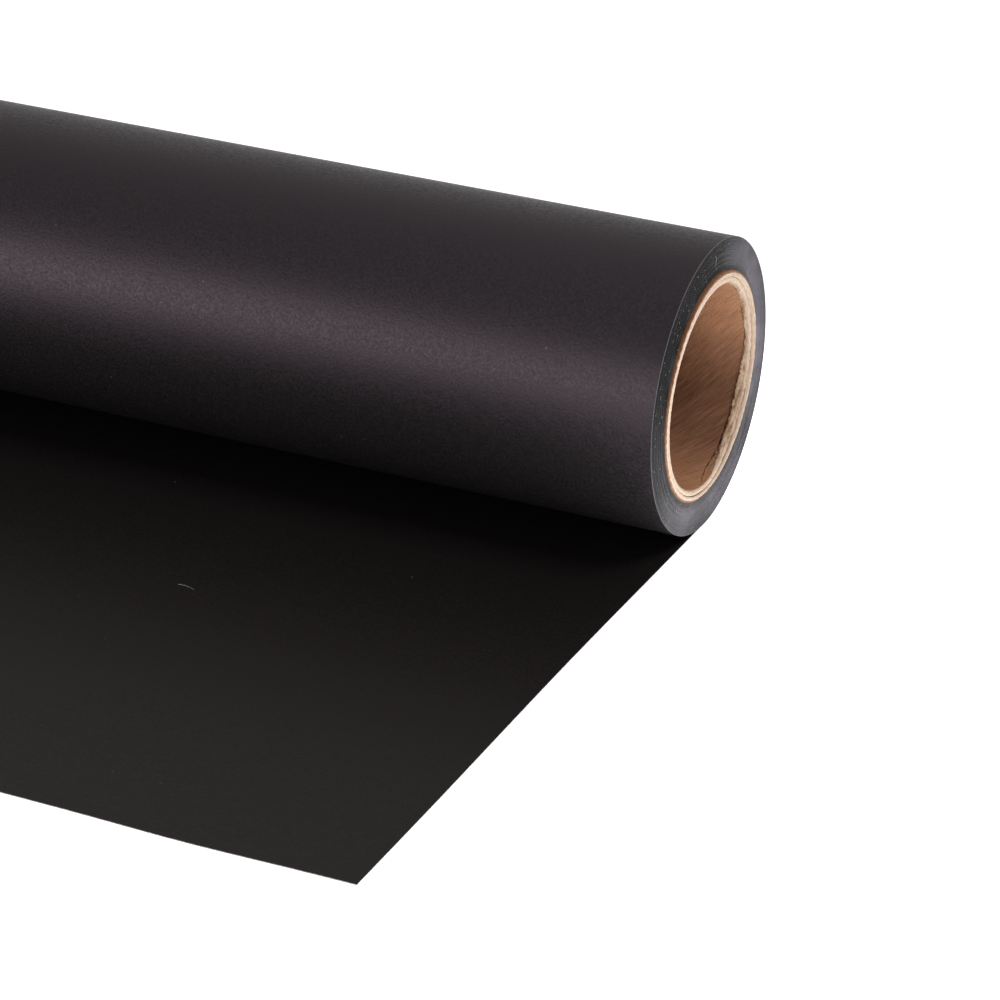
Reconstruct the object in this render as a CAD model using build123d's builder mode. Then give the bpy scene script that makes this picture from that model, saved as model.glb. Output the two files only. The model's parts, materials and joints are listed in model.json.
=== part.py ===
from build123d import *
from math import degrees, sqrt
import os

# A roll of background paper lying on the floor with its loose end drawn out in front of it.
# All sizes are in millimetres.
# X runs along the roll, Y points from the loose end to the roll and on behind it, and Z is up.
# The origin is on the axis of the core, halfway along the roll.

# The paper
web_width = 1350.0  # width of the paper, along X
roll_radius = 41.2  # outside of the wound paper
paper_thickness = 0.2
sheet_length = 214.0  # loose paper, from the line where it leaves the roll to its front edge
start_recess_width = 1.2  # the first turns next to the core stand back from the rest
start_recess_depth = 0.6

# The core, a spiral-wound tube: a brown liner, two courses of pale board and a brown cover
bore_radius = 28.5  # fits stands and holders for a 57 mm core
liner_wall = 0.5
inner_board_wall = 1.3
outer_board_wall = 1.2
cover_wall = 0.5

# How far each layer of the core stands out of the roll, at each end
liner_overhang = 0.1
inner_board_overhang = 0.45
outer_board_overhang = 0.8
cover_overhang = 0.7

# The tape that holds the inner end of the paper to the core
tape_width = 25.0  # round the core
tape_thickness = 0.2
tape_end_margin = 15.0  # from the end of the tape to the edge of the paper

# The travelling sheet is hidden under the loose one, and slides out from it as the roll rolls back
hidden_margin = 7.5  # it ends this far short of the loose sheet's front edge
overlap_left = 10.0  # what the two sheets still share when the roll is furthest back

# Clearances
roll_gap = 0.1  # between the roll and the paper that it rests on
sheet_gap = 0.1  # between the sheet that travels with the roll and the one that lies still
roll_to_loose_sheet = 0.3  # between the roll and the sheet that lies still
contact_reach = 5.0  # the paper stays flat this far behind the line where it leaves the roll

# Worked out from the sizes above
core_plies = [
    ("core_liner", liner_wall, liner_overhang),
    ("core_inner_board", inner_board_wall, inner_board_overhang),
    ("core_outer_board", outer_board_wall, outer_board_overhang),
    ("core_cover", cover_wall, cover_overhang),
]
core_radius = bore_radius + sum(wall for _, wall, _ in core_plies)
floor_level = -(roll_radius + roll_gap + paper_thickness)
loose_sheet_level = floor_level + paper_thickness + sheet_gap
# The loose sheet stops where the roll's underside has risen clear of it.
loose_sheet_top = loose_sheet_level + paper_thickness
nip_distance = sqrt(roll_radius**2 - (loose_sheet_top + roll_to_loose_sheet) ** 2)
travelling_length = contact_reach + sheet_length - hidden_margin
pay_out_travel = sheet_length - hidden_margin - overlap_left - nip_distance

os.makedirs("parts", exist_ok=True)


def save(piece, name):
    """Label a finished piece and write it under its own name."""
    piece.part.label = name
    export_step(piece.part, f"parts/{name}.step")


# The core: four layers, each wound on the one inside it
ply_inside = bore_radius
for ply_name, wall, overhang in core_plies:
    ply_length = web_width + 2 * overhang
    with BuildPart() as ply:
        with BuildSketch(Plane.YZ.offset(-ply_length / 2)):
            Circle(ply_inside + wall)
            Circle(ply_inside, mode=Mode.SUBTRACT)
        extrude(amount=ply_length)
    save(ply, ply_name)
    ply_inside += wall


# The tape, an arc of the core's own curve lying on top of it
tape_length = web_width - 2 * tape_end_margin
tape_arc = degrees(tape_width / core_radius)

with BuildPart() as start_tape:
    with BuildSketch(Plane.YZ.offset(-tape_length / 2)):
        with BuildLine():
            underside = CenterArc((0, 0), core_radius, 90 - tape_arc / 2, tape_arc)
            back = CenterArc((0, 0), core_radius + tape_thickness, 90 - tape_arc / 2, tape_arc)
            Line(underside @ 0, back @ 0)
            Line(underside @ 1, back @ 1)
        make_face()
    extrude(amount=tape_length)
save(start_tape, "start_tape")

# The wound paper, a thick ring that rides over the tape
paper_end = web_width / 2
start_end = paper_end - start_recess_depth
start_radius = core_radius + start_recess_width

with BuildPart() as wound_paper:
    with BuildSketch(Plane.XY):
        with BuildLine():
            Polyline(
                (0, core_radius),
                (start_end, core_radius),
                (start_end, start_radius),
                (paper_end, start_radius),
                (paper_end, roll_radius),
                (0, roll_radius),
            )
            mirror(about=Plane.YZ)
        make_face()
    revolve(axis=Axis.X)
    add(start_tape.part, mode=Mode.SUBTRACT)
save(wound_paper, "wound_paper")

# The paper under the roll, which travels with it and lengthens what lies on the floor
with BuildPart() as paid_out_sheet:
    with BuildSketch(Plane.XY.offset(floor_level)):
        with Locations((0, contact_reach)):
            Rectangle(web_width, travelling_length, align=(Align.CENTER, Align.MAX))
    extrude(amount=paper_thickness)
save(paid_out_sheet, "paid_out_sheet")

# The loose end in front of the roll, which lies still while the roll rolls back
with BuildPart() as loose_sheet:
    with BuildSketch(Plane.XY.offset(loose_sheet_level)):
        with Locations((0, -sheet_length)):
            Rectangle(web_width, sheet_length - nip_distance, align=(Align.CENTER, Align.MIN))
    extrude(amount=paper_thickness)
save(loose_sheet, "loose_sheet")

print(f"core radius {core_radius:.2f}, floor at z = {floor_level:.2f}")
print(f"loose sheet stops {nip_distance:.2f} in front of the line where the paper leaves the roll")
print(f"the roll can roll back {pay_out_travel:.2f}, turning {degrees(pay_out_travel / roll_radius):.2f} degrees")
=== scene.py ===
# %% [markdown]
# # A roll of background paper
# A studio background comes as one long web of matte paper, wound on a card core. Here it lies on its side
# with its loose end drawn out in front of it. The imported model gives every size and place, and this lesson
# builds what the eye sees on top of it: paper, card, the cut ends and the light.

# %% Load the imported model
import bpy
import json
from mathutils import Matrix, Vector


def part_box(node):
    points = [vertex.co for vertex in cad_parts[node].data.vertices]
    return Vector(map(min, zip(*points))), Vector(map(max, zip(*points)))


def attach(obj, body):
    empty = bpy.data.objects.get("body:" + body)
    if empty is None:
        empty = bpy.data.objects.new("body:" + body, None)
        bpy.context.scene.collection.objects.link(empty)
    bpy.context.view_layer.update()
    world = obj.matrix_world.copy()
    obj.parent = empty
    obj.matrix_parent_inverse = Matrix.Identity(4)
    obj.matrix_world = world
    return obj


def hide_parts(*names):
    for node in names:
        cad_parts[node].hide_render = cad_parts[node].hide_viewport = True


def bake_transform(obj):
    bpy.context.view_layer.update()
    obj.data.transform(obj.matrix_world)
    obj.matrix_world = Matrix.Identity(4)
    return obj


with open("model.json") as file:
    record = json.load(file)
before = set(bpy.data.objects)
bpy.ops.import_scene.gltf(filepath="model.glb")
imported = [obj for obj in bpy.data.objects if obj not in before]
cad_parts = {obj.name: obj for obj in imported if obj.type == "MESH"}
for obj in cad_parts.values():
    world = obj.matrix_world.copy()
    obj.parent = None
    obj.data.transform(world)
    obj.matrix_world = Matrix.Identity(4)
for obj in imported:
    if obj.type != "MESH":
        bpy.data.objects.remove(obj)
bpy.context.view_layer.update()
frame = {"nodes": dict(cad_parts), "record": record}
print("nodes:", ", ".join(sorted(frame["nodes"])))

# %% What the rest of the script uses
import json
import random
from math import atan2, cos, degrees, exp, hypot, pi, radians, sin

import bmesh
import bpy
from mathutils import Matrix, Vector, noise

MM = 0.001
random.seed(11)

# %% [markdown]
# ## Sizes
# Nothing is measured twice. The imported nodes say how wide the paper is, how thick the roll and each layer
# of the core are, and how high the paper lies on the floor.

# %% Read the sizes


def outer_radius(node):
    """The radius of a round node, from the widest its facets reach."""
    low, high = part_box(node)
    return max(high.y, -low.y, high.z, -low.z)


def length_of(node):
    low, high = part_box(node)
    return high.x - low.x


half_width = length_of("wound_paper") / 2
roll_radius = outer_radius("wound_paper")
mounts = {mount["name"]: mount for mount in frame["record"]["mounts"]}
bore_radius = mounts["core_bore"]["dims"]["r_mm"] * MM
liner_radius = outer_radius("core_liner")
inner_board_radius = outer_radius("core_inner_board")
outer_board_radius = outer_radius("core_outer_board")
core_radius = outer_radius("core_cover")
floor_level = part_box("paid_out_sheet")[0].z
front_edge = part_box("loose_sheet")[0].y
paper_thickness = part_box("loose_sheet")[1].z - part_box("loose_sheet")[0].z
print(f"roll {2 * roll_radius / MM:.1f} mm thick on a {2 * core_radius / MM:.1f} mm core")
print(f"paper {2 * half_width:.3f} m wide and {paper_thickness / MM:.2f} mm thick")

# %% [markdown]
# ## Round pieces
# Everything wound is round, so each layer starts as its outline, a closed ring of points in a plane through
# the axis, and bmesh spins that outline once round. A lathe works the same way. The alternative, cylinders
# cut out of one another, would leave long thin faces where the cuts meet.

# %% Spin an outline round the roll's axis
turn_steps = 200
sharp_angle = radians(40)


def spin_outline(outline, steps=turn_steps):
    """Spin a closed ring of (x, radius) points round the X axis."""
    bm = bmesh.new()
    ring = [bm.verts.new((x, 0.0, radius)) for x, radius in outline]
    edges = [bm.edges.new(pair) for pair in zip(ring, ring[1:] + ring[:1])]
    bmesh.ops.spin(bm, geom=ring + edges, cent=(0, 0, 0), axis=(1, 0, 0), angle=2 * pi,
                   steps=steps, use_merge=True)
    bmesh.ops.recalc_face_normals(bm, faces=bm.faces)
    return bm


def angle_round(point):
    """The angle round the axis, from straight up towards the back."""
    return atan2(point.y, point.z)


def round_place(angle, radius, x):
    """The point at an angle round the axis, a radius and a place along it."""
    return Vector((x, radius * sin(angle), radius * cos(angle)))


def make_piece(bm, name, material):
    """Turn a bmesh into an object that is shaded smooth, except over sharp edges."""
    for edge in bm.edges:
        edge.smooth = len(edge.link_faces) == 2 and edge.calc_face_angle(0) < sharp_angle
    for face in bm.faces:
        face.smooth = True
    mesh = bpy.data.meshes.new(name)
    bm.to_mesh(mesh)
    bm.free()
    piece = bpy.data.objects.new(name, mesh)
    bpy.context.scene.collection.objects.link(piece)
    piece.data.materials.append(material)
    triangles = sum(len(polygon.vertices) - 2 for polygon in mesh.polygons)
    print(f"{name}: {triangles} triangles")
    return piece


# %% [markdown]
# ## Shared shader groups
# Paper and card are both felted fibre, and both gather dust. Those two effects are node groups, made once
# and placed in each material with its own values.

# %% Helpers for building nodes


def add_node(tree, kind, **values):
    """Add a node and set its inputs, or its own properties, by name."""
    node = tree.nodes.new(kind)
    for key, value in values.items():
        if key in node.inputs:
            node.inputs[key].default_value = value
        else:
            setattr(node, key, value)
    return node


def math_node(tree, operation, first, second=None, third=None):
    """Add a Math node, with each input a socket or a number, and return its output."""
    node = add_node(tree, "ShaderNodeMath", operation=operation)
    for socket, value in zip(node.inputs, (first, second, third)):
        if isinstance(value, bpy.types.NodeSocket):
            tree.links.new(value, socket)
        elif value is not None:
            socket.default_value = value
    return node.outputs[0]


def product(tree, first, *others):
    """Multiply sockets and numbers together and return the output."""
    result = first
    for other in others:
        result = math_node(tree, "MULTIPLY", result, other)
    return result


def axis_values(tree, place):
    """Split a place into its x, y and z."""
    parts = tree.nodes.new("ShaderNodeSeparateXYZ")
    tree.links.new(place, parts.inputs[0])
    return parts.outputs[0], parts.outputs[1], parts.outputs[2]


def new_group(name, inputs, outputs):
    """Start a shader group with named inputs and outputs."""
    group = bpy.data.node_groups.new(name, "ShaderNodeTree")
    for socket_name, kind, default in inputs:
        socket = group.interface.new_socket(socket_name, in_out="INPUT", socket_type=kind)
        if default is not None:
            socket.default_value = default
    for socket_name, kind in outputs:
        group.interface.new_socket(socket_name, in_out="OUTPUT", socket_type=kind)
    return group, group.nodes.new("NodeGroupInput"), group.nodes.new("NodeGroupOutput")


def place_group(tree, group, vector, **values):
    """Place a group in a material, feed it a vector and set its other inputs."""
    node = add_node(tree, "ShaderNodeGroup", node_tree=group)
    tree.links.new(vector, node.inputs["Vector"])
    for key, value in values.items():
        node.inputs[key].default_value = value
    return node


# %% The felted fibre group
# Sizes go in as millimetres. Fibre is the fine pattern and cloud the broad one.
VECTOR, FLOAT = "NodeSocketVector", "NodeSocketFloat"

fibre_group, fibre_in, fibre_out = new_group(
    "felted_fibre",
    [("Vector", VECTOR, None), ("Fibre Size", FLOAT, 0.4), ("Cloud Size", FLOAT, 12.0)],
    [("Fibre", FLOAT), ("Cloud", FLOAT)],
)
pattern_roughness = 0.6
links = fibre_group.links
per_metre = 1 / MM
for output, size, detail in (("Fibre", "Fibre Size", 3.0), ("Cloud", "Cloud Size", 2.0)):
    scale = math_node(fibre_group, "DIVIDE", per_metre, fibre_in.outputs[size])
    pattern = add_node(fibre_group, "ShaderNodeTexNoise", Detail=detail, Roughness=pattern_roughness)
    links.new(fibre_in.outputs["Vector"], pattern.inputs["Vector"])
    links.new(scale, pattern.inputs["Scale"])
    links.new(pattern.outputs["Fac"], fibre_out.inputs[output])
print("felted_fibre group:", len(fibre_group.nodes), "nodes")


def place_felt(tree, vector, fibre_size, cloud_size):
    """Place the felted fibre group and return its fibre and its cloud."""
    felt = place_group(tree, fibre_group, vector, **{"Fibre Size": fibre_size, "Cloud Size": cloud_size})
    return felt.outputs["Fibre"], felt.outputs["Cloud"]


# %% The dust group
# Each cell of a Voronoi pattern holds one speck, and a random number per cell keeps only a few of them.
dust_group, dust_in, dust_out = new_group(
    "dust",
    [("Vector", VECTOR, None), ("Spacing", FLOAT, 4.0), ("Speck Size", FLOAT, 0.15), ("Kept", FLOAT, 0.3)],
    [("Dust", FLOAT)],
)
links = dust_group.links
cells = add_node(dust_group, "ShaderNodeTexVoronoi", feature="F1")
links.new(dust_in.outputs["Vector"], cells.inputs["Vector"])
links.new(math_node(dust_group, "DIVIDE", per_metre, dust_in.outputs["Spacing"]), cells.inputs["Scale"])
reach = math_node(dust_group, "DIVIDE", dust_in.outputs["Speck Size"], dust_in.outputs["Spacing"])
pick = add_node(dust_group, "ShaderNodeSeparateColor")
links.new(cells.outputs["Color"], pick.inputs["Color"])
kept = math_node(dust_group, "LESS_THAN", pick.outputs[0], dust_in.outputs["Kept"])
own_reach = math_node(dust_group, "MULTIPLY", reach, pick.outputs[1])
inside = math_node(dust_group, "LESS_THAN", cells.outputs["Distance"], own_reach)
links.new(math_node(dust_group, "MULTIPLY", inside, kept), dust_out.inputs["Dust"])
print("dust group:", len(dust_group.nodes), "nodes")


def place_dust(tree, vector, spacing, speck_size, kept_share):
    """Place the dust group and return its specks."""
    specks = place_group(tree, dust_group, vector,
                         **{"Spacing": spacing, "Speck Size": speck_size, "Kept": kept_share})
    return specks.outputs["Dust"]


# %% Start a material, mix its colours and raise its surface


def new_material(name, base, roughness, specular):
    """A material with its Principled shader, its Object coordinates and its tree."""
    material = bpy.data.materials.new(name)
    material.use_nodes = True
    tree = material.node_tree
    shader = tree.nodes["Principled BSDF"]
    shader.inputs["Base Color"].default_value = (*base, 1)
    shader.inputs["Roughness"].default_value = roughness
    shader.inputs["Specular IOR Level"].default_value = specular
    place = tree.nodes.new("ShaderNodeTexCoord").outputs["Object"]
    return material, tree, shader, place


def mix_colours(tree, factor, first, second, blend="MIX"):
    """Mix two colours, each a socket or a tuple, and return the result."""
    node = add_node(tree, "ShaderNodeMix", data_type="RGBA", blend_type=blend)
    sockets = (node.inputs[0], node.inputs[6], node.inputs[7])
    for socket, value in zip(sockets, (factor, first, second)):
        if isinstance(value, bpy.types.NodeSocket):
            tree.links.new(value, socket)
        else:
            socket.default_value = value if socket is node.inputs[0] else (*value, 1)
    return node.outputs[2]


def shade(colour, factor):
    """A colour made darker or lighter by a factor."""
    return tuple(factor * channel for channel in colour)


def spread(tree, value, low, high):
    """Stretch a value so that low becomes 0 and high becomes 1, and hold it between the two."""
    node = add_node(tree, "ShaderNodeMapRange")
    tree.links.new(value, node.inputs["Value"])
    node.inputs["From Min"].default_value = low
    node.inputs["From Max"].default_value = high
    return node.outputs[0]


def add_bump(tree, shader, height, distance):
    """Raise the surface by height times a distance in metres."""
    bump = add_node(tree, "ShaderNodeBump", Strength=1.0, Distance=distance)
    tree.links.new(height, bump.inputs["Height"])
    tree.links.new(bump.outputs["Normal"], shader.inputs["Normal"])


# %% [markdown]
# ## Black paper
# The paper is dyed black right through and has no coating. Its fibres stand up a little, so it has no clear
# highlight, only a broad soft sheen with a faint purple cast, and it lightens at a glancing angle.

# %% The black paper material
speck_tone = (0.07, 0.066, 0.064)
fibre_darker, fibre_lighter = 0.82, 1.2


def black_paper(name, base, tint, roughness, rough_change, specular, felt_depth):
    """Uncoated black paper: felted fibre, faint clouds, a soft tinted sheen and a few specks."""
    material, tree, shader, place = new_material(name, base, roughness, specular)
    shader.inputs["Specular Tint"].default_value = (*tint, 1)
    fine, broad = place_felt(tree, place, fibre_size=0.8, cloud_size=14.0)
    fibre = spread(tree, fine, 0.3, 0.7)
    cloud = spread(tree, broad, 0.35, 0.65)
    fibred = mix_colours(tree, fibre, shade(base, fibre_darker), shade(base, fibre_lighter))
    clouded = mix_colours(tree, cloud, fibred, base)
    dust = place_dust(tree, place, spacing=6.0, speck_size=0.34, kept_share=0.3)
    tree.links.new(mix_colours(tree, dust, clouded, speck_tone), shader.inputs["Base Color"])
    rough_value = math_node(tree, "MULTIPLY_ADD", fibre, rough_change, roughness - rough_change / 2)
    tree.links.new(rough_value, shader.inputs["Roughness"])
    add_bump(tree, shader, fibre, felt_depth)
    return material


roll_tint, sheet_tint = (1.0, 0.76, 0.89), (1.0, 0.78, 0.8)
roll_paper = black_paper("black_paper_back", (0.0122, 0.0113, 0.0122), roll_tint,
                         roughness=0.42, rough_change=0.26, specular=0.43, felt_depth=0.034 * MM)
sheet_paper = black_paper("black_paper_face", (0.0078, 0.0064, 0.0064), sheet_tint,
                          roughness=0.4, rough_change=0.14, specular=0.21, felt_depth=0.012 * MM)

# %% The pale line where a knife cut the sheet


def cut_line_material():
    """Cut black fibre, which is broken into pale and darker dashes along the line."""
    material, tree, shader, place = new_material("black_paper_cut_line", (0.2, 0.17, 0.18), 0.7, 0.3)
    fine, _ = place_felt(tree, place, fibre_size=0.9, cloud_size=9.0)
    dashes = spread(tree, fine, 0.35, 0.65)
    toned = mix_colours(tree, dashes, (0.14, 0.12, 0.125), (0.46, 0.4, 0.41))
    tree.links.new(toned, shader.inputs["Base Color"])
    return material


cut_line = cut_line_material()
print("black paper:", roll_paper.name, sheet_paper.name, cut_line.name)

# %% [markdown]
# ## Cut ends of the wound paper
# A rotary knife slit the roll to width, so its end is a stack of some fifty paper edges. They don't line up
# perfectly: groups of turns stand a little out or in, and the cut fibres look greyer than the faces. The
# knife dragged each edge outwards, so the end catches light as a shallow dome would. A bump that falls with
# the radius gives that lean, which real steps a few hundredths of a millimetre high could not do smoothly.

# %% Values that change with the radius
ring_roughness = 0.75


def radius_value(tree, place):
    """The distance from the roll's axis, in millimetres."""
    _, y, z = axis_values(tree, place)
    square = math_node(tree, "ADD", product(tree, y, y), product(tree, z, z))
    return product(tree, math_node(tree, "SQRT", square), per_metre)


def ring_noise(tree, radius, per_mm, detail):
    """Noise that changes only with the radius, so it draws rings."""
    rings = add_node(tree, "ShaderNodeTexNoise", noise_dimensions="1D", Scale=per_mm, Detail=detail,
                     Roughness=ring_roughness)
    tree.links.new(radius, rings.inputs["W"])
    return rings.outputs["Fac"]


# %% Painted sheen on the cut end
# A grey haze lies round the core on the side that faces the loose sheet. The far side and a patch underneath
# are lightened as painted sheen, for the light the cut end catches there, and kept dark next to the core as
# painted shadow below the core's proud end. Radii are in millimetres, and the other limits in metres.
haze_out, haze_full = 36.5, 33.0
# The painted sheen fades out towards the rim, and is kept off a ring next to the core as painted shadow.
sheen_out, sheen_full = 45.0, 36.0
core_shadow_in, core_shadow_out = 32.2, 34.6
under_share = 0.6


def sheet_side_haze(tree, place, radius):
    """A mask for the haze next to the core, on the side that faces the loose sheet."""
    _, y, _ = axis_values(tree, place)
    return product(tree, spread(tree, radius, haze_out, haze_full), spread(tree, y, 4 * MM, -16 * MM))


def painted_sheen_zones(tree, place, radius):
    """Masks for all the painted sheen, and for the painted sheen of the patch underneath alone."""
    _, y, z = axis_values(tree, place)
    far_side = product(tree, spread(tree, y, 4 * MM, 26 * MM), spread(tree, z, -40 * MM, -5 * MM))
    under = product(tree, spread(tree, z, -18 * MM, -34 * MM), under_share)
    sheen_and_core_shadow = product(tree, spread(tree, radius, sheen_out, sheen_full), spread(tree, radius, core_shadow_in, core_shadow_out))
    return product(tree, math_node(tree, "MAXIMUM", far_side, under), sheen_and_core_shadow), under


# %% The cut edge material
# Relief and rim width are in millimetres. The pale line along the rim fades out in the painted sheen
# underneath.
drag_lean = 0.28
ring_relief = 0.03
fibre_relief = 0.012
rim_width = 0.3
rim_fade = -0.9
darkest_turn, palest_turn = (0.001, 0.001, 0.001), (0.019, 0.02, 0.021)
haze_tone, fibre_tone = (0.036, 0.038, 0.041), (0.014, 0.015, 0.016)
# The first of these is the lilac grey of the painted sheen.
painted_sheen_tone, rim_tone, lint_tone = (0.2, 0.18, 0.216), (0.1, 0.096, 0.1), (0.13, 0.135, 0.14)


def paper_edges(name):
    """The slit edges of the turns: rings of slightly different greys, lint caught on them, and painted sheen.
    """
    material, tree, shader, place = new_material(name, fibre_tone, 0.36, 0.12)
    shader.inputs["Specular Tint"].default_value = (0.98, 0.9, 1.0, 1)
    radius = radius_value(tree, place)
    rings = spread(tree, ring_noise(tree, radius, 2.6, 5.0), 0.36, 0.64)
    fine, broad = place_felt(tree, place, fibre_size=0.3, cloud_size=7.0)
    fibre = spread(tree, fine, 0.35, 0.65)
    cloud = spread(tree, broad, 0.4, 0.65)
    ringed = mix_colours(tree, rings, darkest_turn, palest_turn)
    haze = product(tree, sheet_side_haze(tree, place, radius), cloud)
    hazed = mix_colours(tree, haze, ringed, haze_tone)
    fibred = mix_colours(tree, product(tree, fibre, 0.2), hazed, fibre_tone)
    # Painted sheen: the far side and the patch underneath are mixed towards a lilac grey as if lit, and left
    # dark next to the core as painted shadow.
    sheen_mask, under = painted_sheen_zones(tree, place, radius)
    patchy = product(tree, sheen_mask, math_node(tree, "MULTIPLY_ADD", cloud, 0.4, 0.6))
    greyed = mix_colours(tree, patchy, fibred, painted_sheen_tone)
    rim = spread(tree, radius, roll_radius / MM - rim_width, roll_radius / MM - 0.4 * rim_width)
    kept_rim = product(tree, rim, math_node(tree, "MULTIPLY_ADD", under, rim_fade, 1.0))
    rimmed = mix_colours(tree, kept_rim, greyed, rim_tone)
    lint = place_dust(tree, place, spacing=0.8, speck_size=0.3, kept_share=0.2)
    tree.links.new(mix_colours(tree, lint, rimmed, lint_tone), shader.inputs["Base Color"])
    lean = product(tree, radius, -drag_lean)
    relief = math_node(tree, "ADD", lean, product(tree, rings, ring_relief))
    height = math_node(tree, "ADD", relief, product(tree, fibre, fibre_relief))
    add_bump(tree, shader, height, MM)
    return material


roll_edges = paper_edges("black_paper_cut_edge")

# %% The outline of the wound paper, turn by turn
turn_pitch = 0.192 * MM
turn_count = round((roll_radius - core_radius) / turn_pitch)
turn_step = (roll_radius - core_radius) / turn_count
edge_groove = 0.035 * MM
flat_share = 0.3
rim_round = 0.16 * MM
rim_points = 4
turn_scatter = 0.12 * MM
broad_waves, fine_waves = 9.0, 31.0


def edge_offset(share):
    """How far a turn stands out at a share of the way from the core to the outside."""
    broad = noise.noise(Vector((broad_waves * share, 0.3, 0.0)))
    fine = noise.noise(Vector((fine_waves * share, 4.1, 0.0)))
    return turn_scatter * (broad + 0.6 * fine)


def end_points(side):
    """The points of one end, from the core outwards, with three for each turn and a rounded rim."""
    points = []
    for turn in range(turn_count - 1):
        radius = core_radius + turn * turn_step
        crest = half_width + edge_offset((turn + 0.5) / turn_count)
        points.append((side * (crest - edge_groove), radius))
        points.append((side * crest, radius + flat_share * turn_step))
        points.append((side * crest, radius + (1 - flat_share) * turn_step))
    for step in range(rim_points + 1):
        angle = pi / 2 * step / rim_points
        points.append((side * (half_width - rim_round * (1 - cos(angle))),
                       roll_radius - rim_round * (1 - sin(angle))))
    return points


right_end = end_points(1)
left_end = end_points(-1)
print(f"{turn_count} turns of {turn_step / MM:.3f} mm")

# %% Spin the wound paper
# Each end also wanders a little round its circle, as no roll is slit dead square. On the side away from the
# loose sheet the outer turns have crept out by four tenths of a millimetre.
creep = 0.42 * MM
creep_angle = radians(120)
wander = 0.06 * MM
wander_per_metre = 90
end_depth = 1 * MM
wound_bm = spin_outline(right_end + left_end[::-1])
for vert in wound_bm.verts:
    outwards = (hypot(vert.co.y, vert.co.z) - core_radius) / (roll_radius - core_radius)
    facing = 0.5 + 0.5 * cos(angle_round(vert.co) - creep_angle)
    wandered = wander * noise.noise(vert.co * wander_per_metre) * (1 - outwards)
    moved = creep * outwards * facing + wandered
    vert.co.x += moved if vert.co.x > 0 else -moved
paper_turns = make_piece(wound_bm, "paper_turns", roll_paper)
paper_turns.data.materials.append(roll_edges)
for polygon in paper_turns.data.polygons:
    polygon.material_index = 1 if abs(polygon.center.x) > half_width - end_depth else 0
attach(paper_turns, "roll")
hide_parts("wound_paper")

# %% [markdown]
# ## The core
# The core is a card tube, wound in a spiral from strips of brown and pale board and glued. A saw cut it to
# length, so its end shows the pale board between a brown liner and a brown cover. The saw ran a little out
# of square and came out through the bore, where it tore the liner away and left a rough, pale burr.

# %% Pale board
# Board tears along its strips, so its fibres are drawn out round the axis.
fibre_stretch = 5
board_bump = 0.12 * MM
ply_darker, ply_paler = (0.5, 0.35, 0.24), (0.69, 0.53, 0.41)
board_fibre_tone, torn_tan = (0.8, 0.67, 0.56), (0.2, 0.105, 0.045)


def round_fibres(tree, place, radius):
    """Coordinates that stretch a pattern round the axis."""
    x, y, z = axis_values(tree, place)
    around = product(tree, math_node(tree, "ARCTAN2", y, z), bore_radius / fibre_stretch)
    joined = tree.nodes.new("ShaderNodeCombineXYZ")
    for socket, value in zip(joined.inputs, (product(tree, radius, MM), around, x)):
        tree.links.new(value, socket)
    return joined.outputs[0]


def pale_board_material():
    """The sawn end of pale board: faint rings where the strips meet, and browner fibre where it is torn."""
    material, tree, shader, place = new_material("pale_board", ply_paler, 0.85, 0.2)
    radius = radius_value(tree, place)
    plies = spread(tree, ring_noise(tree, radius, 2.2, 3.0), 0.35, 0.65)
    fine, broad = place_felt(tree, round_fibres(tree, place, radius), fibre_size=0.4, cloud_size=1.1)
    fibre = spread(tree, fine, 0.3, 0.7)
    cloud = spread(tree, broad, 0.38, 0.62)
    toned = mix_colours(tree, plies, ply_darker, ply_paler)
    fibred = mix_colours(tree, product(tree, fibre, 0.6), toned, board_fibre_tone)
    x, _, _ = axis_values(tree, place)
    torn_in = spread(tree, x, half_width + 0.2 * MM, half_width - 0.7 * MM)
    near_half = spread(tree, x, 0.0, 10 * MM)
    tan = product(tree, torn_in, near_half, math_node(tree, "MULTIPLY_ADD", cloud, 0.55, 0.42))
    tree.links.new(mix_colours(tree, tan, fibred, torn_tan), shader.inputs["Base Color"])
    add_bump(tree, shader, math_node(tree, "ADD", fibre, cloud), board_bump)
    return material


pale_board = pale_board_material()
print("pale board:", len(pale_board.node_tree.nodes), "nodes")

# %% Brown kraft
# The strips run round the tube as a screw does. Turning the pattern back as it moves along the axis makes
# them straight, and one small scale then draws each streak out along its strip. Deeper than 11 mm from the
# near end the kraft is darkened by painted shade, for the light that fades into the bore; from 24 mm in, and
# at the far end too, it is fully darkened.
winding_twist = 43.0
streak_stretch = (0.13, 1, 1)
kraft_bump = 0.05 * MM
paler_until, darker_from = half_width - 11 * MM, half_width - 24 * MM
painted_bore_shade = (0.66, 0.62, 0.6)


def winding_streaks(tree, place):
    """Streaks of fibre that follow the winding."""
    x, _, _ = axis_values(tree, place)
    untwist = add_node(tree, "ShaderNodeVectorRotate", rotation_type="X_AXIS")
    tree.links.new(place, untwist.inputs["Vector"])
    tree.links.new(product(tree, x, -winding_twist), untwist.inputs["Angle"])
    along = add_node(tree, "ShaderNodeMapping")
    along.inputs["Scale"].default_value = streak_stretch
    tree.links.new(untwist.outputs[0], along.inputs["Vector"])
    fine, _ = place_felt(tree, along.outputs[0], fibre_size=0.55, cloud_size=9.0)
    return spread(tree, fine, 0.32, 0.68)


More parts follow.
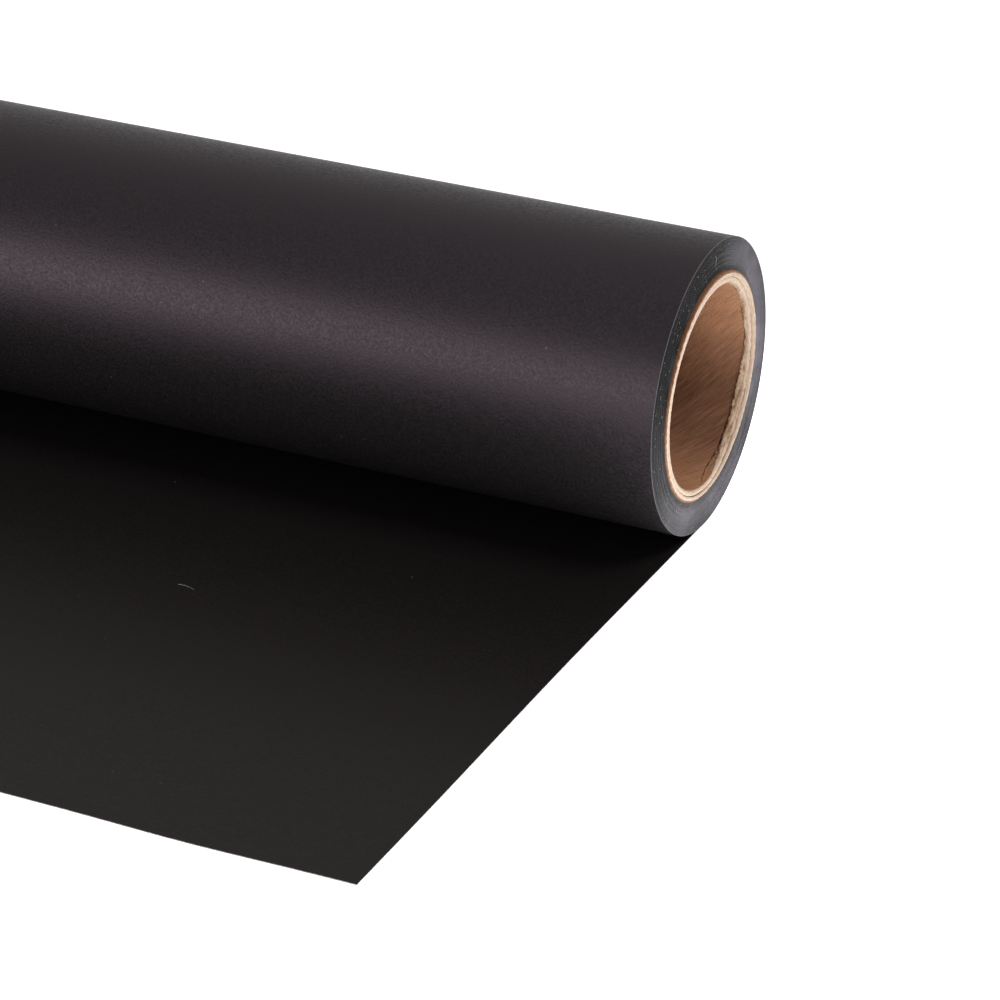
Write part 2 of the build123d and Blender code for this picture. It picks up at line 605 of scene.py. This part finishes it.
def kraft_material(name, dark, light, streak_depth, dark_patch_place, dark_patch_size, dark_patch_colour):
    """Brown kraft: streaks along the winding, one dark patch, and painted shade deeper in the bore."""
    material, tree, shader, place = new_material(name, light, 0.62, 0.3)
    streak = winding_streaks(tree, place)
    fine, broad = place_felt(tree, place, fibre_size=0.5, cloud_size=7.0)
    fibre = spread(tree, fine, 0.3, 0.7)
    cloud = spread(tree, broad, 0.3, 0.7)
    faded = product(tree, streak, math_node(tree, "MULTIPLY_ADD", cloud, 0.5, 0.5))
    toned = mix_colours(tree, faded, dark, light)
    patched = mix_colours(tree, product(tree, cloud, 0.35), toned, shade(dark, 0.75))
    fibred = mix_colours(tree, product(tree, fibre, 0.3), patched, shade(light, 1.2))
    # The dark patch: on the liner it is a painted shadow beside the torn edge; on the cover it darkens the
    # top left.
    away = add_node(tree, "ShaderNodeVectorMath", operation="DISTANCE")
    tree.links.new(place, away.inputs[0])
    away.inputs[1].default_value = dark_patch_place
    patch_reach = spread(tree, away.outputs["Value"], dark_patch_size, 0.3 * dark_patch_size)
    patch_share = product(tree, patch_reach, math_node(tree, "MULTIPLY_ADD", streak, -0.25, 0.75))
    patch_mixed = mix_colours(tree, patch_share, fibred, dark_patch_colour)
    x, _, _ = axis_values(tree, place)
    # Painted shade: deeper into the bore the kraft is multiplied darker, for the light that fades inwards.
    bore_shaded = mix_colours(tree, spread(tree, x, paler_until, darker_from), patch_mixed, painted_bore_shade, "MULTIPLY")
    tree.links.new(bore_shaded, shader.inputs["Base Color"])
    height = math_node(tree, "ADD", fibre, product(tree, streak, streak_depth))
    add_bump(tree, shader, height, kraft_bump)
    return material


# The cover's dark patch is a darker brown at the top left. The liner's is a painted shadow, a few millimetres
# into the bore beside the torn edge.
cover_dark_patch = round_place(radians(-52), core_radius, half_width)
kraft_cover = kraft_material("kraft_cover", (0.2, 0.085, 0.038), (0.38, 0.2, 0.105), 0.5,
                             cover_dark_patch, 36 * MM, (0.12, 0.034, 0.009))
liner_painted_shadow = round_place(radians(128), bore_radius, half_width - 7 * MM)
kraft_liner = kraft_material("kraft_liner", (0.27, 0.12, 0.058), (0.6, 0.32, 0.18), 1.2,
                             liner_painted_shadow, 25 * MM, (0.05, 0.018, 0.009))
print("kraft:", kraft_cover.name, kraft_liner.name)

# %% Dried glue and paper tape
# The glue lies deep in the gaps between the strips, and the same dark material is painted shade on the board
# under the liner, seen through its split. The tape holds the start of the paper, out of sight.
crinkle_height = 0.06 * MM


def glue_and_shade_material():
    """Dried glue with brown fibre stuck in it, also used as painted shade under the liner's split."""
    material, tree, shader, place = new_material("glue_and_split_shade", (0.03, 0.016, 0.009), 0.7, 0.2)
    fine, _ = place_felt(tree, place, fibre_size=0.4, cloud_size=3.0)
    mixed = mix_colours(tree, fine, (0.016, 0.009, 0.005), (0.06, 0.03, 0.015))
    tree.links.new(mixed, shader.inputs["Base Color"])
    return material


def tape_material():
    """Crinkled paper tape."""
    material, tree, shader, place = new_material("paper_tape", (0.5, 0.4, 0.26), 0.6, 0.35)
    fine, _ = place_felt(tree, place, fibre_size=0.5, cloud_size=6.0)
    crinkle = spread(tree, fine, 0.3, 0.7)
    toned = mix_colours(tree, crinkle, (0.4, 0.31, 0.19), (0.58, 0.47, 0.32))
    tree.links.new(toned, shader.inputs["Base Color"])
    add_bump(tree, shader, crinkle, crinkle_height)
    return material


glue_and_split_shade = glue_and_shade_material()
paper_tape = tape_material()
for tape_slot in frame["nodes"]["start_tape"].material_slots:
    tape_slot.material = paper_tape
print("start_tape:", len(frame["nodes"]["start_tape"].material_slots), "slot")

# %% The sawn end of the core
# Angles run from straight up towards the back, so 90 degrees is the side away from the loose sheet.
cut_stand_off = 0.87 * MM
cut_lean_back = 0.28 * MM
cut_lean_up = 0.44 * MM
tear_from, tear_full, tear_fade, tear_to = 8, 40, 138, 176
deepest_from, deepest_to = 60, 112
tear_depth = 1.42 * MM
whole_bevel = 0.6 * MM


def ease(value, low, high):
    """Rise smoothly from 0 at low to 1 at high."""
    share = min(1.0, max(0.0, (value - low) / (high - low)))
    return share * share * (3 - 2 * share)


def rough(angle, radius, size, seed):
    """Noise round the circle, between about -1 and 1, with detail of a given size in millimetres."""
    place = Vector((seed, radius * cos(angle), radius * sin(angle)))
    return 2.0 * noise.noise(place * (per_metre / size) + Vector((seed, 0, 0)))


def tear(angle):
    """How far the bore edge is torn at an angle, from 0 to 1."""
    turned = degrees(angle) % 360
    return ease(turned, tear_from, tear_full) * (1 - ease(turned, tear_fade, tear_to))


def cut_level(angle):
    """How far past the paper the sawn end of the core stands."""
    return half_width + cut_stand_off + cut_lean_back * sin(angle) + cut_lean_up * cos(angle)


def tear_level(angle):
    """Where the torn edge of the bore lies."""
    ragged = 0.45 * rough(angle, bore_radius, 3.6, 1) + 0.2 * rough(angle, bore_radius, 0.9, 2)
    whole = cut_level(angle) - whole_bevel
    depth = 0.62 + 0.38 * ease(degrees(angle) % 360, deepest_from, deepest_to)
    torn = half_width - tear_depth * (depth + 0.5 * ragged)
    return whole + (torn - whole) * tear(angle)


# %% Spin a core layer and shape it point by point
core_steps = 540


def shaped_tube(name, node, places, material):
    """Spin a ring of points and put each at the (x, radius) that places(angle) gives for it."""
    bm = bmesh.new()
    order = bm.verts.layers.int.new("order")
    ring = [bm.verts.new((x, 0.0, radius)) for x, radius in places(0.0)]
    for index, vert in enumerate(ring):
        vert[order] = index
    edges = [bm.edges.new(pair) for pair in zip(ring, ring[1:] + ring[:1])]
    bmesh.ops.spin(bm, geom=ring + edges, cent=(0, 0, 0), axis=(1, 0, 0), angle=2 * pi,
                   steps=core_steps, use_merge=True)
    outlines = {}
    for vert in bm.verts:
        angle = angle_round(vert.co)
        key = round(angle, 5)
        if key not in outlines:
            outlines[key] = places(angle)
        x, radius = outlines[key][vert[order]]
        vert.co = round_place(angle, radius, x)
    bmesh.ops.recalc_face_normals(bm, faces=bm.faces)
    piece = make_piece(bm, name, material)
    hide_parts(node)
    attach(piece, "roll")
    return piece


# %% Cover and outer board
# A dark gap shows between the two boards, so each stops half a gap short of the radius where they meet. An
# outline runs from the far end to the sawn end along one wall and comes back along the other.
groove_width = 0.34 * MM
groove_depth = 0.6 * MM
eased = 0.1 * MM
far_level = -half_width - cut_stand_off
gap_from, gap_full, gap_fade, gap_to = 25, 70, 185, 215
least_gap = 0.12
board_fuzz = 0.09 * MM
cover_fuzz = 0.1 * MM


def gap_open(angle):
    """How open the gap between the two boards is, from 0 to 1: it closes towards the loose sheet."""
    turned = degrees(angle) % 360
    opened = ease(turned, gap_from, gap_full) * (1 - ease(turned, gap_fade, gap_to))
    return least_gap + (1 - least_gap) * opened


def cover_places(angle):
    """The cover's outline: it ends a little short of the board, with its outer corner worn off."""
    level = cut_level(angle) - 0.12 * MM + cover_fuzz * rough(angle, core_radius, 1.5, 3)
    inner, outer = outer_board_radius, core_radius - 0.02 * MM
    return [(far_level + 0.1 * MM, inner), (level, inner), (level - 0.05 * MM, (inner + outer) / 2),
            (level - 0.2 * MM, outer), (level - 1.2 * MM, outer), (far_level + 0.3 * MM, outer)]


def outer_board_places(angle):
    """The outer board's outline: a fuzzy sawn face between the gap and the cover."""
    level = cut_level(angle)
    gap = gap_open(angle)
    inner, outer = inner_board_radius + groove_width / 2 * gap, outer_board_radius
    fuzz = [board_fuzz * rough(angle, outer, 0.7, seed) for seed in (4, 5, 6, 7)]
    span = outer - inner
    return [(far_level, inner), (level - 1.6 * MM, inner), (level - groove_depth * gap, inner),
            (level - 0.2 * MM * gap + fuzz[0], inner + eased), (level + fuzz[1], inner + 0.35 * span),
            (level + fuzz[2], inner + 0.65 * span), (level - 0.08 * MM + fuzz[3], outer - 0.5 * eased),
            (level - 0.5 * MM, outer), (far_level, outer)]


shaped_tube("cover_ply", "core_cover", cover_places, kraft_cover)
shaped_tube("outer_board_plies", "core_outer_board", outer_board_places, pale_board)

# %% Inner board, with its torn bore edge
# Where the bore edge is torn, the board steps down from the saw cut, slopes back to the tear and ends in a
# burr that leans into the bore. Each point of the slope is a share of the way and a bulge in millimetres.
hidden_radius = liner_radius + 0.05 * MM
tear_step = 0.75 * MM
burr_height = 0.95 * MM
burr_from, burr_full = 72, 112
torn_fuzz = 0.13 * MM
slope_points = ((0.3, 0.12), (0.6, 0.16), (0.85, 0.1))
slope_power = 1.4


def inner_board_places(angle):
    """The inner board's outline: gap, sawn shelf, torn slope, burr and the hidden back."""
    torn = tear(angle)
    shelf = cut_level(angle) - 0.12 * MM - tear_step * torn
    edge = tear_level(angle)
    rise = 0.3 + 0.7 * ease(degrees(angle) % 360, burr_from, burr_full)
    lifted = burr_height * torn * rise * (0.75 + 0.35 * rough(angle, bore_radius, 2.6, 8)
                                          + 0.25 * rough(angle, bore_radius, 0.8, 18))
    gap = gap_open(angle)
    outer = inner_board_radius - groove_width / 2 * gap
    tip = bore_radius + 0.2 * MM * (1 - torn) - lifted
    fuzz = [torn_fuzz * (0.2 + torn) * rough(angle, outer, 0.8, seed) for seed in (9, 10, 11, 12)]
    points = [(far_level, outer), (shelf - groove_depth - 1 * MM, outer), (shelf - groove_depth * gap, outer),
              (shelf - 0.1 * MM + fuzz[0], outer - eased)]
    for share, bulge in slope_points:
        x = shelf + (edge - shelf) * share ** slope_power + bulge * MM * (1 - torn)
        points.append((x + fuzz[1 + int(share * 3)], outer - eased + (tip - outer + eased) * share))
    points += [(edge + fuzz[3], tip), (edge - 0.35 * MM, tip + 0.15 * MM),
               (edge - 0.6 * MM, hidden_radius), (half_width - 6 * MM, hidden_radius),
               (far_level, hidden_radius)]
    return points


inner_board_plies = shaped_tube("inner_board_plies", "core_inner_board", inner_board_places, pale_board)
inner_board_plies.data.materials.append(glue_and_split_shade)
# Faces in the gap between the boards get glue; the board faces under the liner get it as painted shade, seen
# through the liner's split.
for polygon in inner_board_plies.data.polygons:
    middle = polygon.center
    radius = hypot(middle.y, middle.z)
    under_liner = radius < hidden_radius + 0.02 * MM and middle.x < half_width - 2.4 * MM
    in_gap = radius > inner_board_radius - 0.1 * MM
    polygon.material_index = 1 if under_liner or in_gap else 0

# %% The liner, its split and its loose flap
# Low on the far side the liner split along a line a few millimetres in, and a strip of it still hangs on.
split_from, split_to = 112, 190
split_taper = 26
split_level = 2.7 * MM
liner_lift = 0.16 * MM


def split(angle):
    """How far back the split runs at an angle, from 0 to 1: it tapers off at both ends."""
    turned = degrees(angle) % 360
    return ease(turned, split_from, split_from + split_taper) * ease(turned, split_to, split_to - split_taper)


def split_line(angle):
    """Where the liner parts from its flap."""
    whole = tear_level(angle) - 0.12 * MM
    parted = half_width - split_level + (0.25 * rough(angle, bore_radius, 3.4, 13)
                                         + 0.1 * rough(angle, bore_radius, 0.9, 19)) * MM
    return whole + (parted - whole) * split(angle)


def liner_places(angle):
    """The liner's outline: a thin tube whose torn lip lifts off the board here and there."""
    level = split_line(angle)
    lifted = liner_lift * max(0.0, rough(angle, bore_radius, 2.6, 14)) * max(tear(angle), split(angle))
    return [(far_level + 0.4 * MM, bore_radius), (half_width - 12 * MM, bore_radius),
            (level - 1.4 * MM, bore_radius), (level - 0.5 * MM, bore_radius - 0.4 * lifted),
            (level, bore_radius + 0.08 * MM - lifted), (level, liner_radius - 0.1 * MM - lifted),
            (level - 0.7 * MM, liner_radius - 0.02 * MM), (far_level + 0.4 * MM, liner_radius)]


shaped_tube("liner_ply", "core_liner", liner_places, kraft_liner)

# %% The flap that still hangs on
# It starts as a flat grid, which is bent onto the bore between the split and the torn edge and thickened.
flap_thickness = 0.3 * MM
flap_steps = 130
flap_rows = 6
flap_lift = 0.2 * MM
split_gap = 0.4 * MM
least_opening = 0.45
flap_bm = bmesh.new()
bmesh.ops.create_grid(flap_bm, x_segments=flap_rows, y_segments=flap_steps, size=0.5)
for vert in flap_bm.verts:
    across, round_share = vert.co.x + 0.5, vert.co.y + 0.5
    angle = radians(split_from + 1 + (split_to - split_from - 2) * round_share)
    opening = max(least_opening, 0.85 + 0.5 * rough(angle, bore_radius, 2.2, 15))
    gap = split_gap * split(angle) * opening
    back = split_line(angle) + gap
    front = tear_level(angle) + 0.15 * MM
    x = back + max(0.05 * MM, front - back) * across
    lifted = flap_lift * split(angle) * (1 - across) * (0.6 + 0.6 * rough(angle, bore_radius, 3.0, 16))
    vert.co = round_place(angle, bore_radius + 0.1 * MM - lifted, x)
bmesh.ops.recalc_face_normals(flap_bm, faces=flap_bm.faces)
bmesh.ops.solidify(flap_bm, geom=flap_bm.faces[:], thickness=flap_thickness)
liner_flap = make_piece(flap_bm, "liner_flap", kraft_liner)
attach(liner_flap, "roll")

# %% [markdown]
# ## Loose fibres
# Torn board leaves fibres standing along the bore edge, and black paper shows every bit of lint. Each is a
# thin bent thread, drawn as a curve with a round section and then turned into a mesh.

# %% Helpers for fibres
thread_taper = 0.6
weld_distance = 0.001 * MM


def thread_material(name, colour):
    """A pale paper fibre whose tone varies a little along it."""
    material, tree, shader, place = new_material(name, colour, 0.7, 0.3)
    fine, _ = place_felt(tree, place, fibre_size=0.6, cloud_size=4.0)
    tree.links.new(mix_colours(tree, fine, shade(colour, 0.7), colour), shader.inputs["Base Color"])
    return material


def make_threads(name, paths, thickness, material, body):
    """Turn lists of points into one mesh of tapered threads."""
    curve = bpy.data.curves.new(name, "CURVE")
    curve.dimensions = "3D"
    curve.bevel_depth = thickness / 2
    curve.bevel_resolution = 1
    curve.use_fill_caps = True
    for path in paths:
        spline = curve.splines.new("POLY")
        spline.points.add(len(path) - 1)
        for index, (point, place) in enumerate(zip(spline.points, path)):
            point.co = (*place, 1)
            point.radius = 1 - thread_taper * index / len(path)
    holder = bpy.data.objects.new(name + "_curve", curve)
    bpy.context.scene.collection.objects.link(holder)
    bpy.context.view_layer.update()
    mesh = bpy.data.meshes.new_from_object(holder.evaluated_get(bpy.context.evaluated_depsgraph_get()))
    bpy.data.objects.remove(holder)
    bm = bmesh.new()
    bm.from_mesh(mesh)
    bmesh.ops.remove_doubles(bm, verts=bm.verts, dist=weld_distance)
    bmesh.ops.recalc_face_normals(bm, faces=bm.faces)
    piece = make_piece(bm, name, material)
    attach(piece, body)


def bent_path(start, heading, length, bend, count=7):
    """A thread that starts in one direction and keeps turning towards another."""
    points = [start.copy()]
    heading = heading.normalized()
    for _ in range(count):
        heading = (heading + bend / count).normalized()
        points.append(points[-1] + heading * (length / count))
    return points


def random_turn():
    """A vector that points anywhere and is shorter or longer by chance."""
    return Vector([random.uniform(-1, 1) for _ in range(3)])


# %% Fibres along the torn edge
torn_fibre_count = 150
long_every, long_factor = 12, 1.9
torn_paths = []
for index in range(torn_fibre_count):
    angle = radians(random.uniform(tear_from + 8, tear_to - 4))
    start = round_place(angle, bore_radius + random.uniform(-0.1, 0.8) * MM,
                        tear_level(angle) + random.uniform(-0.3, 0.9) * MM)
    inwards = -round_place(angle, 1.0, 0.0)
    heading = inwards * random.uniform(0.1, 0.9) + random_turn() * 0.8 + Vector((-0.6, 0, 0))
    length = random.uniform(0.5, 1.3) * MM * (long_factor if index % long_every == 0 else 1)
    torn_paths.append(bent_path(start, heading, length, random_turn() * 1.6))
board_thread = thread_material("board_fibre", (0.72, 0.56, 0.42))
make_threads("torn_fibres", torn_paths, 0.09 * MM, board_thread, "roll")

# %% Lint on the cut end
# Short bits lie flat on the side of the end that faces the sheet, and one long curl sits near the top.
lint_count = 46
lint_from, lint_to = 195, 372
curl_angle, curl_radius, curl_length = radians(-2), 38.2 * MM, 3.6 * MM
curl_start_heading, curl_bend = Vector((0, 0.9, -0.3)), Vector((0, -1.6, -2.6))
lint_thread = thread_material("pale_lint", (0.42, 0.41, 0.41))
lint_paths = []
for index in range(lint_count):
    angle = radians(random.uniform(lint_from, lint_to))
    radius = random.uniform(core_radius + 0.8 * MM, roll_radius - 1 * MM)
    start = round_place(angle, radius, half_width + 0.12 * MM)
    heading = random_turn()
    heading.x = 0
    bend = random_turn()
    bend.x = 0.1
    lint_paths.append(bent_path(start, heading, random.uniform(0.25, 0.8) * MM, bend))
curl_start = round_place(curl_angle, curl_radius, half_width + 0.25 * MM)
lint_paths.append(bent_path(curl_start, curl_start_heading, curl_length, curl_bend, 10))
make_threads("end_lint", lint_paths, 0.1 * MM, lint_thread, "roll")

# %% [markdown]
# ## The loose sheet
# In front of the roll the web lies face up on the floor. It remembers the curve of the roll, so it doesn't
# lie quite flat. It passes under the roll, and turns up behind it into the outermost turn. One grid carries
# the whole web, bent by a formula, so it has no seam where it meets the roll.

# %% The sheet's shape
hump_height = 0.7 * MM
hump_squeeze = 1.15
wave_height = 0.12 * MM
waves_across, waves_along = 9, 11
tuck_angle = radians(9)
sheet_rows = 90
sheet_columns = 160
lie_gap = 0.02 * MM
sheet_skew = 0.7 * MM
edge_wander = 0.35 * MM
wander_across = 14
edge_bow = 0.8 * MM
bow_middle = half_width - 42 * MM
bow_width = 25 * MM


def sheet_place(x, run):
    """The middle of the paper at a distance run behind the line where it meets the roll.

    In front of that line the run is negative. There the sheet skews and its front edge bows and wanders.
    """
    middle_radius = roll_radius + lie_gap + paper_thickness / 2
    if run > 0:
        angle = run / middle_radius
        return Vector((x, middle_radius * sin(angle), -middle_radius * cos(angle)))
    share = run / front_edge
    x += sheet_skew * share
    bow = edge_bow * (0.7 + exp(-((x - bow_middle) / bow_width) ** 2))
    run -= share ** 6 * (bow + edge_wander * noise.noise(Vector((x * wander_across, 5.0, 1.0))))
    hump = hump_height * sin(pi * min(1.0, share * hump_squeeze)) ** 2
    waves = noise.noise(Vector((x * waves_across, run * waves_along, 2.0)))
    wave = wave_height * waves * min(1.0, share * 6)
    return Vector((x, run, -middle_radius + hump + wave))


# %% Build the sheet
sheet_bm = bmesh.new()
bmesh.ops.create_grid(sheet_bm, x_segments=sheet_columns, y_segments=sheet_rows, size=0.5)
tuck_length = tuck_angle * roll_radius
for vert in sheet_bm.verts:
    across, along = vert.co.x + 0.5, vert.co.y + 0.5
    x = (2 * across - 1) * half_width
    run = front_edge + along * (tuck_length - front_edge)
    vert.co = sheet_place(x, run)
bmesh.ops.recalc_face_normals(sheet_bm, faces=sheet_bm.faces)
loose_paper = make_piece(sheet_bm, "loose_paper", sheet_paper)
thicken = loose_paper.modifiers.new("paper thickness", "SOLIDIFY")
thicken.thickness = paper_thickness
thicken.offset = 0
loose_paper.data.materials.append(cut_line)
thicken.material_offset_rim = 1
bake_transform(loose_paper)
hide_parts("loose_sheet", "paid_out_sheet")

# %% One pale fibre that fell on the sheet
fallen_from_end, fallen_run, fallen_length = 109 * MM, -99.5 * MM, 5.6 * MM
above_paper = Vector((0, 0, 0.16 * MM))
fallen_start = sheet_place(half_width - fallen_from_end, fallen_run) + above_paper
fallen_path = bent_path(fallen_start, Vector((0.9, 0.25, 0)), fallen_length, Vector((0.1, -0.9, 0)), 10)
make_threads("sheet_lint", [fallen_path], 0.1 * MM, lint_thread, "loose_end")

# %% [markdown]
# ## Floor, light and camera
# Black paper shows little but what it reflects, so the light decides how round the roll looks. The roll lies
# on a light table, which glows from below and reads as plain white. Two long softboxes in front draw the
# soft band along the roll, and a lamp from the right reaches into the bore. The room is brighter behind,
# which lifts the top of the roll at a glancing angle.

# %% The light table
# Its glow is strongest beside the roll's near end and in a strip behind the roll. Lengths are in metres.
table_half_size = 6
table_glow = 0.25
near_glow = 2.7
back_glow = 1.7
far_glow = 0.55
floor_gap = 0.05 * MM


def table_material():
    """White that is seen as plain white, and lights the roll by a different amount from place to place."""
    material, tree, shader, place = new_material("white_floor", (0.35, 0.35, 0.35), 0.9, 0.1)
    x, y, _ = axis_values(tree, place)
    beside = spread(tree, x, half_width - 0.01, half_width + 0.02)
    not_beyond = spread(tree, x, half_width + 0.5, half_width + 0.2)
    in_front = spread(tree, y, 0.02, -0.02)
    glow = math_node(tree, "MULTIPLY_ADD", product(tree, beside, not_beyond, in_front), near_glow, table_glow)
    behind = product(tree, spread(tree, y, 0.0, 0.02), spread(tree, y, 0.2, 0.12))
    not_right = spread(tree, x, half_width + 0.06, half_width + 0.02)
    glow = math_node(tree, "ADD", glow, product(tree, behind, not_right, back_glow))
    glow = math_node(tree, "ADD", glow, product(tree, spread(tree, y, 0.12, 0.22), far_glow))
    seen = tree.nodes.new("ShaderNodeLightPath").outputs["Is Camera Ray"]
    tree.links.new(math_node(tree, "MAXIMUM", glow, seen), shader.inputs["Emission Strength"])
    shader.inputs["Emission Color"].default_value = (1, 1, 1, 1)
    return material


floor_bm = bmesh.new()
bmesh.ops.create_grid(floor_bm, x_segments=1, y_segments=1, size=table_half_size)
floor = make_piece(floor_bm, "floor", table_material())
floor.data.transform(Matrix.Translation((0, 0, floor_level - floor_gap)))

# %% The room
# The camera sees white, while the paper is lit by a dimmer room that brightens from front to back.
seen_strength = 1.1
room_tone = (1.0, 0.985, 0.98, 1)
front_strength, added_behind = 0.3, 0.31
world = bpy.data.worlds.new("studio")
bpy.context.scene.world = world
world.use_nodes = True
tree = world.node_tree
backdrop = tree.nodes["Background"]
backdrop.inputs["Color"].default_value = (1, 1, 1, 1)
backdrop.inputs["Strength"].default_value = seen_strength
room = add_node(tree, "ShaderNodeBackground")
room.inputs["Color"].default_value = room_tone
_, backward, _ = axis_values(tree, tree.nodes.new("ShaderNodeTexCoord").outputs["Generated"])
behind = spread(tree, backward, -0.3, 0.9)
tree.links.new(math_node(tree, "MULTIPLY_ADD", behind, added_behind, front_strength), room.inputs["Strength"])
seen = tree.nodes.new("ShaderNodeLightPath")
choose = tree.nodes.new("ShaderNodeMixShader")
tree.links.new(seen.outputs["Is Camera Ray"], choose.inputs[0])
tree.links.new(room.outputs[0], choose.inputs[1])
tree.links.new(backdrop.outputs[0], choose.inputs[2])
tree.links.new(choose.outputs[0], tree.nodes["World Output"].inputs["Surface"])
print("room:", front_strength, "in front and", front_strength + added_behind, "behind")

# %% Lamps
near_end = Vector((half_width, 0, 0))
lamp_aim = near_end - Vector((0.3, 0, 0))
lamp_distance = 2.2


def soft_lamp(name, heading, height, size, power):
    """A rectangular softbox that faces the near part of the roll from a heading and a height angle."""
    light = bpy.data.lights.new(name, "AREA")
    light.shape = "RECTANGLE"
    light.size, light.size_y = size
    light.energy = power
    lamp = bpy.data.objects.new(name, light)
    bpy.context.scene.collection.objects.link(lamp)
    flat = Vector((sin(heading), -cos(heading), 0))
    direction = flat * cos(height) + Vector((0, 0, sin(height)))
    lamp.location = lamp_aim + direction * lamp_distance
    lamp.rotation_euler = (-direction).to_track_quat("-Z", "Y").to_euler()
    print(f"{name}: {power} W at {degrees(height):.1f} degrees above the table")


front_heading, strip_size = radians(-21.6), (2.6, 0.6)
soft_lamp("low_softbox", front_heading, radians(5.5), strip_size, 16.3)
soft_lamp("high_softbox", front_heading, radians(20), strip_size, 12)
soft_lamp("right_softbox", radians(91), radians(55), (0.7, 0.7), 17)

# %% The camera
camera_turn = radians(23.74)
camera_dip = radians(25.12)
camera_lean = radians(1.64)
camera_from_end = Vector((0.3356, -0.9012, 0.4146))
lens_mm, sensor_mm, clip_end = 139.57, 36, 50
camera = bpy.data.objects.new("camera", bpy.data.cameras.new("camera"))
bpy.context.scene.collection.objects.link(camera)
camera.data.lens = lens_mm
camera.data.sensor_width = sensor_mm
camera.data.clip_end = clip_end
turned = Matrix.Rotation(camera_turn, 4, "Z") @ Matrix.Rotation(pi / 2 - camera_dip, 4, "X")
leaned = turned @ Matrix.Rotation(camera_lean, 4, "Z")
camera.matrix_world = Matrix.Translation(near_end + camera_from_end) @ leaned
bpy.context.scene.camera = camera
bpy.context.scene.view_settings.view_transform = "Standard"
print(f"camera {camera_from_end.length:.2f} m from the roll's near end")
